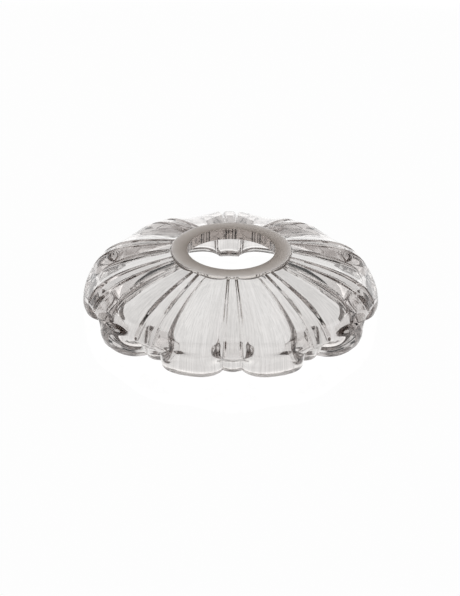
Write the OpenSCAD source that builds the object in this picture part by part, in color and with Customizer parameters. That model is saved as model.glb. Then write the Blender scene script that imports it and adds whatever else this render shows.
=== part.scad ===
// Flower frog: a shallow fluted dome of thick pressed glass that stands open side down,
// with a polished round hole through the middle and a flat ground ring round the hole.
// Millimetres, +Z up, origin on the table under the middle of the hole.

/* [Overall] */
// Radius over the petals where they are widest
petal_r = 75; // [72:0.5:85]
// Height from the table to the ground ring
dome_h = 33.7; // [32:0.1:38]
// Number of petals, and of the ribs between them
petals = 10; // [8:1:12]

/* [Ground ring and hole] */
// Radius of the hole
bore_r = 22.15; // [18:0.05:23]
// Length of the straight polished wall of the hole
bore_len = 6.1; // [5.5:0.1:7]
// Outer radius of the ground ring
ring_r = 30.3; // [29:0.1:32]
// Step down from the ground ring to the flutes
ring_step = 0.8; // [0.5:0.1:1.5]

/* [Petals and ribs] */
// Angle from the middle of a rib to the groove beside it, in degrees
groove_a = 4.3; // [3.5:0.1:5]
// How far the grooves lie inside the petals at the widest height
groove_in = 8.3; // [6:0.1:9]
// How far a rib stands out of the grooves beside it at the rim
rib_rise = 1.7; // [1:0.1:2.5]
// Depth of the narrow grooves on top of the dome, one each side of a rib
groove_cut = 2.4; // [1:0.1:2.8]
// Half width of those grooves, in degrees
groove_w = 0.85; // [0.7:0.05:1.3]
// Depth of the scoop along the middle of each petal
scoop_cut = 2.1; // [0.5:0.1:2.8]
// Height at which the petals are widest
wide_z = 6; // [5:0.5:8]
// Height above which the petals stand out no further than the grooves
shoulder_z = 13; // [12:0.5:16]
// Depth of the waist that runs round the petals below their shoulders
waist_cut = 0.6; // [0:0.1:1]
// Height of the waist
waist_z = 17; // [15:0.5:18]
// How far the petals draw in from their widest height to the table
petal_tuck = 2; // [1:0.1:3]
// How far the grooves and ribs draw in over the same height
rib_tuck = 2.2; // [1:0.1:3]

/* [Hollow] */
// Radius of the hollow at the rim, opposite a rib
hollow_rib_r = 56.4; // [54:0.1:57]
// Radius of the hollow at the rim, inside a petal
hollow_petal_r = 63.6; // [62:0.1:65]
// Height at which the steep side of the hollow turns into its roof
ledge_z = 11.5; // [10:0.5:13]
// Radius of the hollow at that height, opposite a rib
ledge_rib_r = 58.5; // [57:0.5:60]
// Radius of the hollow at that height, inside a petal
ledge_petal_r = 63.5; // [62:0.5:64]
// Rounding of the rim where it meets the table
rim_round = 1.6; // [1:0.1:2]

/* [Hidden] */
half = 180 / petals;
crown_z = dome_h - ring_step;
bore_z = dome_h - bore_len;
// Stations from the middle of a rib (0) to the middle of a petal (1)
stations = [0, 0.13, 0.24, 0.31, 0.41, 0.6, 1];
dome_steps = 15;
wall_steps = 3;
round_steps = 3;
side_steps = 3;
roof_steps = 9;
// How far the fluted shell runs into the turned collar round the hole, and the share
// of the dome's curve that it runs in under the ground ring
overlap = 2;
tuck_in = 0.06;

function smooth(u) = let (c = min(1, max(0, u))) c * c * (3 - 2 * c);
function bezier(p, t) = let (s = 1 - t)
    s * s * s * p[0] + 3 * s * s * t * p[1] + 3 * s * t * t * p[2] + t * t * t * p[3];
// 0 at a distance "edge" from the rib, rising steeply to 1 at the middle of a petal
function lobe(f, edge) = f <= edge ? 0 : pow(1 - pow((half - f) / (half - edge), 3), 0.77);
function petal(f) = lobe(f, groove_a);
// 1 on the middle of a rib, 0 in the grooves beside it
function rib(f) = f >= groove_a ? 0 : cos(90 * f / groove_a);
// How far the grooves lie inside the petals at a height
function notch(z) = groove_in * (1 - smooth((z - wide_z) / (shoulder_z - wide_z)));

// Depth cut into the top at angle f from a rib: a groove each side of the rib and a scoop
function top_cut(f) = groove_cut * exp(-pow((f - 0.85 * groove_a) / groove_w, 2))
    + scoop_cut * (1 - pow(min(1, (half - f) / (half - 1.3 * groove_a)), 1.6));
// How much of that depth is left between the ring (t = 0) and the widest height (t = 1)
function cut_share(t) = min(1, 0.4 + 1.6 * t) * (1 - smooth((t - 0.8) / 0.11));
// Depth of the waist at a height, on the petals only
function waist(f, z) = waist_cut * exp(-pow((z - waist_z) / 2, 2)) * petal(f);

// Points [radius, height] at angle f from the middle of the nearest rib
function dome_point(f, t) = let (
        w = petal_r - ring_r,
        r = bezier([ring_r, ring_r + 0.55 * w, ring_r + 0.978 * w, petal_r], t),
        z = bezier([crown_z, crown_z - 4.2, crown_z - 8.6, wide_z], t),
        n = notch(z))
    [r - n * (1 - petal(f)) + rib_rise * rib(f) * n / groove_in - waist(f, z),
     z - top_cut(f) * cut_share(t)];
function wall_point(f, z) = let (u = (wide_z - z) / wide_z, p = petal(f))
    [petal_r - petal_tuck * p * pow(u, 2.2) - (1 - p) * (groove_in + rib_tuck * u)
        + rib_rise * rib(f), z];
function foot_r(f) = wall_point(f, rim_round)[0] - rim_round;
// The hollow: its lobes follow the petals, with a steep side and then a roof up to the collar
function inner_lobe(f) = lobe(f, 0.28 * half);
function hollow_r(f) = hollow_rib_r + (hollow_petal_r - hollow_rib_r) * inner_lobe(f);
function ledge_r(f) = ledge_rib_r + (ledge_petal_r - ledge_rib_r) * inner_lobe(f);
function side_point(f, t) =
    [hollow_r(f) + (ledge_r(f) - hollow_r(f)) * pow(t, 0.6),
     rim_round + (ledge_z - rim_round) * t];
function roof_point(f, t) = let (h = ledge_r(f), top = bore_r + overlap)
    [bezier([h, h, 0.55 * h + 0.45 * top - 3.85, top], t),
     bezier([ledge_z, ledge_z + 5, bore_z - 1.2, bore_z + 0.4], t)];

// One closed section through the glass at angle f, from the collar over the top and back
function section(f) = concat(
    [[bore_r + overlap, crown_z - 1.5], dome_point(f, -tuck_in)],
    [for (i = [1 : dome_steps]) dome_point(f, i / dome_steps)],
    [for (i = [1 : wall_steps])
        wall_point(f, wide_z + (rim_round - wide_z) * i / wall_steps)],
    [for (i = [1 : round_steps]) let (a = 90 * i / round_steps)
        [foot_r(f) + rim_round * cos(a), rim_round * (1 - sin(a))]],
    [for (i = [0 : round_steps]) let (a = 90 - 90 * i / round_steps)
        [hollow_r(f) + rim_round * (1 - cos(a)), rim_round * (1 - sin(a))]],
    [for (i = [1 : side_steps]) side_point(f, i / side_steps)],
    [for (i = [1 : roof_steps]) roof_point(f, i / roof_steps)]);

// Angles of the stations round the whole dome, with the angle from the nearest rib
function mirrored() = concat(
    [for (s = stations) [s * half, s * half]],
    [for (i = [len(stations) - 2 : -1 : 1]) [(2 - stations[i]) * half, stations[i] * half]]);

module fluted_shell() {
    round_one = mirrored();
    columns = petals * len(round_one);
    rows = len(section(0));
    points = [for (k = [0 : petals - 1], m = round_one, p = section(m[1]))
        let (a = 2 * half * k + m[0]) [p[0] * sin(a), -p[0] * cos(a), p[1]]];
    faces = [for (c = [0 : columns - 1], r = [0 : rows - 1], side = [0, 1])
        let (c2 = (c + 1) % columns, r2 = (r + 1) % rows)
        side == 0 ? [c * rows + r, c2 * rows + r, c2 * rows + r2]
            : [c * rows + r, c2 * rows + r2, c * rows + r2]];
    polyhedron(points, faces);
}

// The turned glass round the hole: ground flat on top, with the polished wall inside
module collar() {
    rotate_extrude($fn = 96)
        polygon([[bore_r, bore_z], [bore_r + 2.5 * overlap, bore_z], [ring_r, crown_z - 3],
            [ring_r, dome_h], [bore_r, dome_h]]);
}

module fluted_glass_dome() {
    color([0.86, 0.84, 0.84, 0.6])
        union() {
            fluted_shell();
            collar();
        }
}

fluted_glass_dome();
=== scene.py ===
import math

import bpy
import numpy as np
from mathutils import Matrix


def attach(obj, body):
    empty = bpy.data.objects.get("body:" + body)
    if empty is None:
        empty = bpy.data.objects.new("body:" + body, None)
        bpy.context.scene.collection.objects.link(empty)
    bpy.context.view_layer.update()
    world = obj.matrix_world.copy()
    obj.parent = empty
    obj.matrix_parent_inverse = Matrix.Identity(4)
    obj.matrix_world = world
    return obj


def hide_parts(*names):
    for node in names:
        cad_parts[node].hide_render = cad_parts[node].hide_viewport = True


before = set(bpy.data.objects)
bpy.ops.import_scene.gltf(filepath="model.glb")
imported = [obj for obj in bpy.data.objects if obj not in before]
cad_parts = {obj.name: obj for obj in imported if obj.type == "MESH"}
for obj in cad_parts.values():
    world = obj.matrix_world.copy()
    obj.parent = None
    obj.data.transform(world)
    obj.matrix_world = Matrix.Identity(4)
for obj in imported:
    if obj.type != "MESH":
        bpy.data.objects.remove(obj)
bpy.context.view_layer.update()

# ---------------------------------------------------------------- shape of the glass, in mm
PETALS = 10
PITCH = 360 / PETALS
HALF = PITCH / 2
PETAL_R, DOME_H = 75.0, 33.7
BORE_R, BORE_LEN = 22.15, 6.1
RING_R, RING_STEP = 30.3, 0.8
CROWN_Z = DOME_H - RING_STEP
BORE_Z = DOME_H - BORE_LEN
# Grooves beside the ribs: angle from the middle of the rib, depth at the rim, rise of the rib
GROOVE_A, GROOVE_IN, RIB_RISE = 4.3, 8.3, 1.7
# The same grooves on top of the dome, with the scoop along the middle of each petal
GROOVE_CUT, GROOVE_W, SCOOP_CUT = 2.4, 0.85, 2.1
WIDE_Z, SHOULDER_Z = 6.0, 13.0
WAIST_CUT, WAIST_Z = 0.6, 17.0
PETAL_TUCK, RIB_TUCK = 2.0, 2.2
HOLLOW_RIB_R, HOLLOW_PETAL_R = 56.4, 63.6
LEDGE_Z, LEDGE_RIB_R, LEDGE_PETAL_R = 11.5, 58.5, 63.5
RIM_ROUND = 1.6
EDGE = 0.25        # rounding of the edges of the ground ring
FLARE = 1.0        # rounding between the hole and the hollow

# ---------------------------------------------------------------- fineness of the mesh
COLUMNS = 1440
DOME_ROWS, WALL_ROWS, SIDE_ROWS, ROOF_ROWS = 90, 16, 20, 50
ROUND_ROWS = 6


def smooth(u):
    c = np.clip(u, 0, 1)
    return c * c * (3 - 2 * c)


def bezier(p, t):
    s = 1 - t
    return s ** 3 * p[0] + 3 * s * s * t * p[1] + 3 * s * t * t * p[2] + t ** 3 * p[3]


def lobe(f, edge):
    """0 up to the angle edge from a rib, rising steeply to 1 at the middle of a petal."""
    u = np.clip((HALF - f) / (HALF - edge), 0, 1)
    return (1 - u ** 3) ** 0.77


def steps(first, last, count):
    """The ends of count equal steps from first to last, without first itself."""
    return np.linspace(first, last, count + 1)[1:]


def sections():
    """Rows of [radius, height] from the inner edge of the ground ring, over the dome,
    round the rim and back through the hollow to the hole. Also the angle of each column
    and the number of rows on the ground ring."""
    angle = np.arange(COLUMNS) * 360 / COLUMNS
    f = np.abs((angle + 360 + HALF) % PITCH - HALF)
    petal = lobe(f, GROOVE_A)
    rib = np.where(f < GROOVE_A, np.cos(np.pi / 2 * np.minimum(f / GROOVE_A, 1)), 0)
    scoop = 1 - np.minimum(1, (HALF - f) / (HALF - 1.3 * GROOVE_A)) ** 1.6
    groove = np.exp(-((f - 0.85 * GROOVE_A) / GROOVE_W) ** 2)
    top_cut = GROOVE_CUT * groove + SCOOP_CUT * scoop
    rows = []

    def row(r, z):
        rows.append(np.stack([r + 0 * f, z + 0 * f], -1))

    # Ground ring with its rounded outer edge
    for r in np.linspace(BORE_R + EDGE, RING_R - EDGE, 6):
        row(r, DOME_H)
    ring_rows = len(rows)
    for a in np.radians(steps(0, 90, 4)):
        row(RING_R - EDGE + EDGE * np.sin(a), DOME_H - EDGE + EDGE * np.cos(a))

    # Top of the dome, down to the height where the petals are widest
    w = PETAL_R - RING_R
    for t in np.linspace(0, 1, DOME_ROWS + 1):
        r = bezier([RING_R, RING_R + 0.55 * w, RING_R + 0.978 * w, PETAL_R], t)
        z = bezier([CROWN_Z, CROWN_Z - 4.2, CROWN_Z - 8.6, WIDE_Z], t)
        notch = GROOVE_IN * (1 - smooth((z - WIDE_Z) / (SHOULDER_Z - WIDE_Z)))
        share = min(1, 0.4 + 1.6 * t) * (1 - smooth((t - 0.8) / 0.11))
        waist = WAIST_CUT * np.exp(-((z - WAIST_Z) / 2) ** 2) * petal
        row(r - notch * (1 - petal) + RIB_RISE * rib * notch / GROOVE_IN - waist, z - top_cut * share)

    # Wall of the petals down to the rounded foot
    def wall_r(z):
        u = (WIDE_Z - z) / WIDE_Z
        return (PETAL_R - PETAL_TUCK * petal * u ** 2.2
                - (1 - petal) * (GROOVE_IN + RIB_TUCK * u) + RIB_RISE * rib)

    for z in steps(WIDE_Z, RIM_ROUND, WALL_ROWS):
        row(wall_r(z), z)
    foot = wall_r(RIM_ROUND) - RIM_ROUND
    for a in np.radians(steps(0, 90, ROUND_ROWS)):
        row(foot + RIM_ROUND * np.cos(a), RIM_ROUND * (1 - np.sin(a)))

    # The hollow: rounded foot, steep side up to a ledge, then the roof
    inner_lobe = lobe(f, 0.28 * HALF)
    hollow = HOLLOW_RIB_R + (HOLLOW_PETAL_R - HOLLOW_RIB_R) * inner_lobe
    ledge = LEDGE_RIB_R + (LEDGE_PETAL_R - LEDGE_RIB_R) * inner_lobe
    for a in np.radians(np.linspace(90, 0, ROUND_ROWS + 1)):
        row(hollow + RIM_ROUND * (1 - np.cos(a)), RIM_ROUND * (1 - np.sin(a)))
    for t in steps(0, 1, SIDE_ROWS):
        row(hollow + (ledge - hollow) * t ** 0.6, RIM_ROUND + (LEDGE_Z - RIM_ROUND) * t)
    top = BORE_R + FLARE
    for t in steps(0, 1, ROOF_ROWS):
        row(bezier([ledge, ledge, 0.55 * ledge + 0.45 * top - 3.85, top], t),
            bezier([LEDGE_Z, LEDGE_Z + 5, BORE_Z - 1.2, BORE_Z], t))

    # Wall of the hole, rounded at both ends
    for a in np.radians(steps(0, 90, 5)):
        row(top - FLARE * np.sin(a), BORE_Z + FLARE - FLARE * np.cos(a))
    for z in steps(BORE_Z + FLARE, DOME_H - EDGE, 4):
        row(BORE_R, z)
    for a in np.radians([30, 60]):
        row(BORE_R + EDGE - EDGE * np.cos(a), DOME_H - EDGE + EDGE * np.sin(a))
    return np.array(rows), np.radians(angle), ring_rows


def glass_object():
    rows, angle, ring_rows = sections()
    x, y = rows[..., 0] * np.sin(angle), -rows[..., 0] * np.cos(angle)
    points = np.stack([x, y, rows[..., 1]], -1).reshape(-1, 3) / 1000
    i, j = np.meshgrid(np.arange(len(rows)), np.arange(COLUMNS), indexing="ij")
    i2, j2 = (i + 1) % len(rows), (j + 1) % COLUMNS
    corners = [i * COLUMNS + j, i2 * COLUMNS + j, i2 * COLUMNS + j2, i * COLUMNS + j2]
    quads = np.stack(corners, -1).reshape(-1, 4)
    mesh = bpy.data.meshes.new("fluted_glass")
    mesh.from_pydata(points.tolist(), [], quads.tolist())
    mesh.polygons.foreach_set("use_smooth", np.ones(len(quads), dtype=bool))
    slots = np.zeros(len(quads), dtype=np.int32)
    slots[:(ring_rows - 1) * COLUMNS] = 1
    mesh.polygons.foreach_set("material_index", slots)
    mesh.update()
    glass = bpy.data.objects.new("fluted_glass", mesh)
    bpy.context.scene.collection.objects.link(glass)
    return glass


glass = glass_object()
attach(glass, "root")
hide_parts("fluted_glass_dome")


# ---------------------------------------------------------------- helpers for node trees
def material(name):
    m = bpy.data.materials.new(name)
    m.use_nodes = True
    return m, m.node_tree.nodes, m.node_tree.links


def math_node(nodes, links, operation, *values):
    node = nodes.new("ShaderNodeMath")
    node.operation = operation
    for socket, value in zip(node.inputs, values):
        if isinstance(value, (int, float)):
            socket.default_value = value
        else:
            links.new(value, socket)
    return node.outputs["Value"]


def polar(nodes, links):
    """Object coordinates, with the radius and the angle round the axis of the hole."""
    place = nodes.new("ShaderNodeTexCoord").outputs["Object"]
    split = nodes.new("ShaderNodeSeparateXYZ")
    links.new(place, split.inputs[0])
    x, y = split.outputs["X"], split.outputs["Y"]
    x2 = math_node(nodes, links, "MULTIPLY", x, x)
    y2 = math_node(nodes, links, "MULTIPLY", y, y)
    radius = math_node(nodes, links, "SQRT", math_node(nodes, links, "ADD", x2, y2))
    return place, radius, math_node(nodes, links, "ARCTAN2", y, x)


def noise_node(nodes, links, place, scale, detail):
    noise = nodes.new("ShaderNodeTexNoise")
    noise.inputs["Scale"].default_value = scale
    noise.inputs["Detail"].default_value = detail
    links.new(place, noise.inputs["Vector"])
    return noise


def ramp_node(nodes, links, value, stops):
    ramp = nodes.new("ShaderNodeValToRGB")
    while len(ramp.color_ramp.elements) < len(stops):
        ramp.color_ramp.elements.new(0.5)
    for stop, (place, colour) in zip(ramp.color_ramp.elements, stops):
        stop.position = place
        stop.color = (*colour, 1)
    links.new(value, ramp.inputs["Fac"])
    return ramp.outputs["Color"]


# ---------------------------------------------------------------- clear glass
# Scales of the painted shade streaks in the clear glass
SHADE_STREAK_ROUND, SHADE_STREAK_ALONG = 14, 20    # streaks round the axis and along the radius
# Painted shade on the wall of the hole: its tone and its dark lines
PAINTED_WALL_TONE, PAINTED_WALL_LINE = (0.86, 0.80, 0.74), (0.02, 0.015, 0.012)


def clear_glass():
    clear, nodes, links = material("clear_glass")
    shader = nodes["Principled BSDF"]
    shader.inputs["Roughness"].default_value = 0.0
    shader.inputs["IOR"].default_value = 1.5
    shader.inputs["Transmission Weight"].default_value = 1.0
    tint = nodes.new("ShaderNodeVolumeAbsorption")
    tint.inputs["Color"].default_value = (0.80, 0.778, 0.770, 1)
    tint.inputs["Density"].default_value = 60.0
    links.new(tint.outputs["Volume"], nodes["Material Output"].inputs["Volume"])

    # Painted shade: faint dark streaks that run out from the hole, standing in for dark surroundings
    # refracted in the fluted glass
    _, radius, angle = polar(nodes, links)
    across = [math_node(nodes, links, turn, angle) for turn in ("SINE", "COSINE")]
    along = nodes.new("ShaderNodeCombineXYZ")
    for socket, value, scale in zip(along.inputs, (*across, radius),
                                    (SHADE_STREAK_ROUND, SHADE_STREAK_ROUND, SHADE_STREAK_ALONG)):
        links.new(math_node(nodes, links, "MULTIPLY", value, scale), socket)
    shade_streak_noise = noise_node(nodes, links, along.outputs["Vector"], 2.2, 3)
    shade_streak_noise.inputs["Roughness"].default_value = 0.6
    shade_streak_noise.inputs["Distortion"].default_value = 0.6
    painted_shade_streaks = ramp_node(nodes, links, shade_streak_noise.outputs["Fac"], [
        (0.30, (0.684, 0.672, 0.662)), (0.42, (0.855, 0.846, 0.834)), (0.50, (0.702, 0.694, 0.681)),
        (0.58, (0.864, 0.852, 0.843)), (0.72, (0.792, 0.78, 0.768))])

    # Painted shade on the polished wall of the hole: a warm tone with two dark painted lines on each
    # side of a rib, standing in for refracted surroundings
    ten_fold = math_node(nodes, links, "COSINE", math_node(nodes, links, "MULTIPLY", angle, PETALS))
    from_rib = math_node(nodes, links, "MULTIPLY_ADD", ten_fold, 0.5, 0.5)
    painted_wall_shade = ramp_node(nodes, links, from_rib, [
        (0.015, PAINTED_WALL_TONE), (0.03, PAINTED_WALL_LINE), (0.06, PAINTED_WALL_LINE), (0.08, PAINTED_WALL_TONE),
        (0.17, PAINTED_WALL_TONE), (0.20, PAINTED_WALL_LINE), (0.33, PAINTED_WALL_LINE), (0.38, PAINTED_WALL_TONE)])
    on_wall = math_node(nodes, links, "LESS_THAN", radius, (BORE_R + EDGE) / 1000)
    darken = nodes.new("ShaderNodeMix")
    darken.data_type = "RGBA"
    darken.blend_type = "MULTIPLY"
    factor, first, second = (s for s in darken.inputs if s.enabled)
    links.new(on_wall, factor)
    links.new(painted_shade_streaks, first)
    links.new(painted_wall_shade, second)
    mixed = next(s for s in darken.outputs if s.enabled)
    links.new(mixed, shader.inputs["Base Color"])
    return clear


# ---------------------------------------------------------------- ground ring
PATCH_SHIFT = 0.35     # how far patches shift the shade across the ring


def ground_glass():
    ground, nodes, links = material("ground_glass")
    shader = nodes["Principled BSDF"]
    shader.inputs["IOR"].default_value = 1.5
    shader.inputs["Transmission Weight"].default_value = 0.12
    place, radius, _ = polar(nodes, links)
    grit = noise_node(nodes, links, place, 260, 6).outputs["Fac"]
    patches = noise_node(nodes, links, place, 90, 3).outputs["Fac"]

    # Painted shade: darker towards the hole, with an uneven edge to the shade
    across = nodes.new("ShaderNodeMapRange")
    across.inputs["From Min"].default_value = BORE_R / 1000
    across.inputs["From Max"].default_value = RING_R / 1000
    links.new(radius, across.inputs["Value"])
    centred = math_node(nodes, links, "SUBTRACT", patches, 0.5)
    shift = math_node(nodes, links, "MULTIPLY", centred, PATCH_SHIFT)
    shifted = math_node(nodes, links, "ADD", across.outputs["Result"], shift)
    painted_ring_shade = ramp_node(nodes, links, shifted, [
        (0.0, (0.27, 0.228, 0.195)), (0.3, (0.37, 0.322, 0.287)), (0.7, (0.49, 0.442, 0.405)),
        (0.9, (0.59, 0.548, 0.518)), (1.0, (0.70, 0.665, 0.64))])
    links.new(painted_ring_shade, shader.inputs["Base Color"])

    # Ground surface
    rough = nodes.new("ShaderNodeMapRange")
    rough.inputs["To Min"].default_value = 0.42
    rough.inputs["To Max"].default_value = 0.66
    links.new(grit, rough.inputs["Value"])
    links.new(rough.outputs["Result"], shader.inputs["Roughness"])
    bump = nodes.new("ShaderNodeBump")
    bump.inputs["Strength"].default_value = 0.5
    bump.inputs["Distance"].default_value = 0.0001
    links.new(grit, bump.inputs["Height"])
    links.new(bump.outputs["Normal"], shader.inputs["Normal"])
    return ground


glass.data.materials.append(clear_glass())
glass.data.materials.append(ground_glass())


# ---------------------------------------------------------------- floor and light
def white_table():
    white, nodes, links = material("white_table")
    shader = nodes["Principled BSDF"]
    shader.inputs["Base Color"].default_value = (0, 0, 0, 1)
    shader.inputs["Roughness"].default_value = 0.02
    shader.inputs["Emission Color"].default_value = (1, 1, 1, 1)
    shader.inputs["Emission Strength"].default_value = 0.985
    return white


FLOOR_R, FLOOR_GAP = 6, 0.0002    # metres
bpy.ops.mesh.primitive_circle_add(vertices=128, radius=FLOOR_R, fill_type="NGON",
                                  location=(0, 0, -FLOOR_GAP))
floor = bpy.context.object
floor.name = "white_table"
floor.data.materials.append(white_table())

# White all round, with a dark band part of the way up that gives the glass its dark lines
world = bpy.data.worlds.new("studio")
bpy.context.scene.world = world
world.use_nodes = True
nodes, links = world.node_tree.nodes, world.node_tree.links
split = nodes.new("ShaderNodeSeparateXYZ")
links.new(nodes.new("ShaderNodeTexCoord").outputs["Generated"], split.inputs[0])
WHITE, BLACK = (1, 1, 1), (0, 0, 0)
sky = ramp_node(nodes, links, split.outputs["Z"], [
    (0.0, WHITE), (0.33, WHITE), (0.36, BLACK), (0.58, BLACK), (0.62, WHITE), (1.0, WHITE)])
links.new(sky, nodes["Background"].inputs["Color"])

# ---------------------------------------------------------------- camera
LIFT, TURN, ROLL = math.radians(28.14), math.radians(-1.13), math.radians(0.72)
DISTANCE = 1.2                    # metres
AIM_X, AIM_Z = -0.00038, 0.0057
camera_data = bpy.data.cameras.new("camera")
camera_data.sensor_width = 36
camera_data.lens = 142.49
camera_data.clip_start, camera_data.clip_end = 0.01, 50
camera = bpy.data.objects.new("camera", camera_data)
scene = bpy.context.scene
scene.collection.objects.link(camera)
stand = (AIM_X, -DISTANCE * math.cos(LIFT), AIM_Z + DISTANCE * math.sin(LIFT))
camera.matrix_world = (Matrix.Rotation(TURN, 4, "Z") @ Matrix.Translation(stand)
                       @ Matrix.Rotation(math.pi / 2 - LIFT, 4, "X") @ Matrix.Rotation(ROLL, 4, "Z"))
scene.camera = camera
scene.view_settings.view_transform = "Standard"
scene.cycles.max_bounces = 24
scene.cycles.transmission_bounces = 24
scene.cycles.glossy_bounces = 12
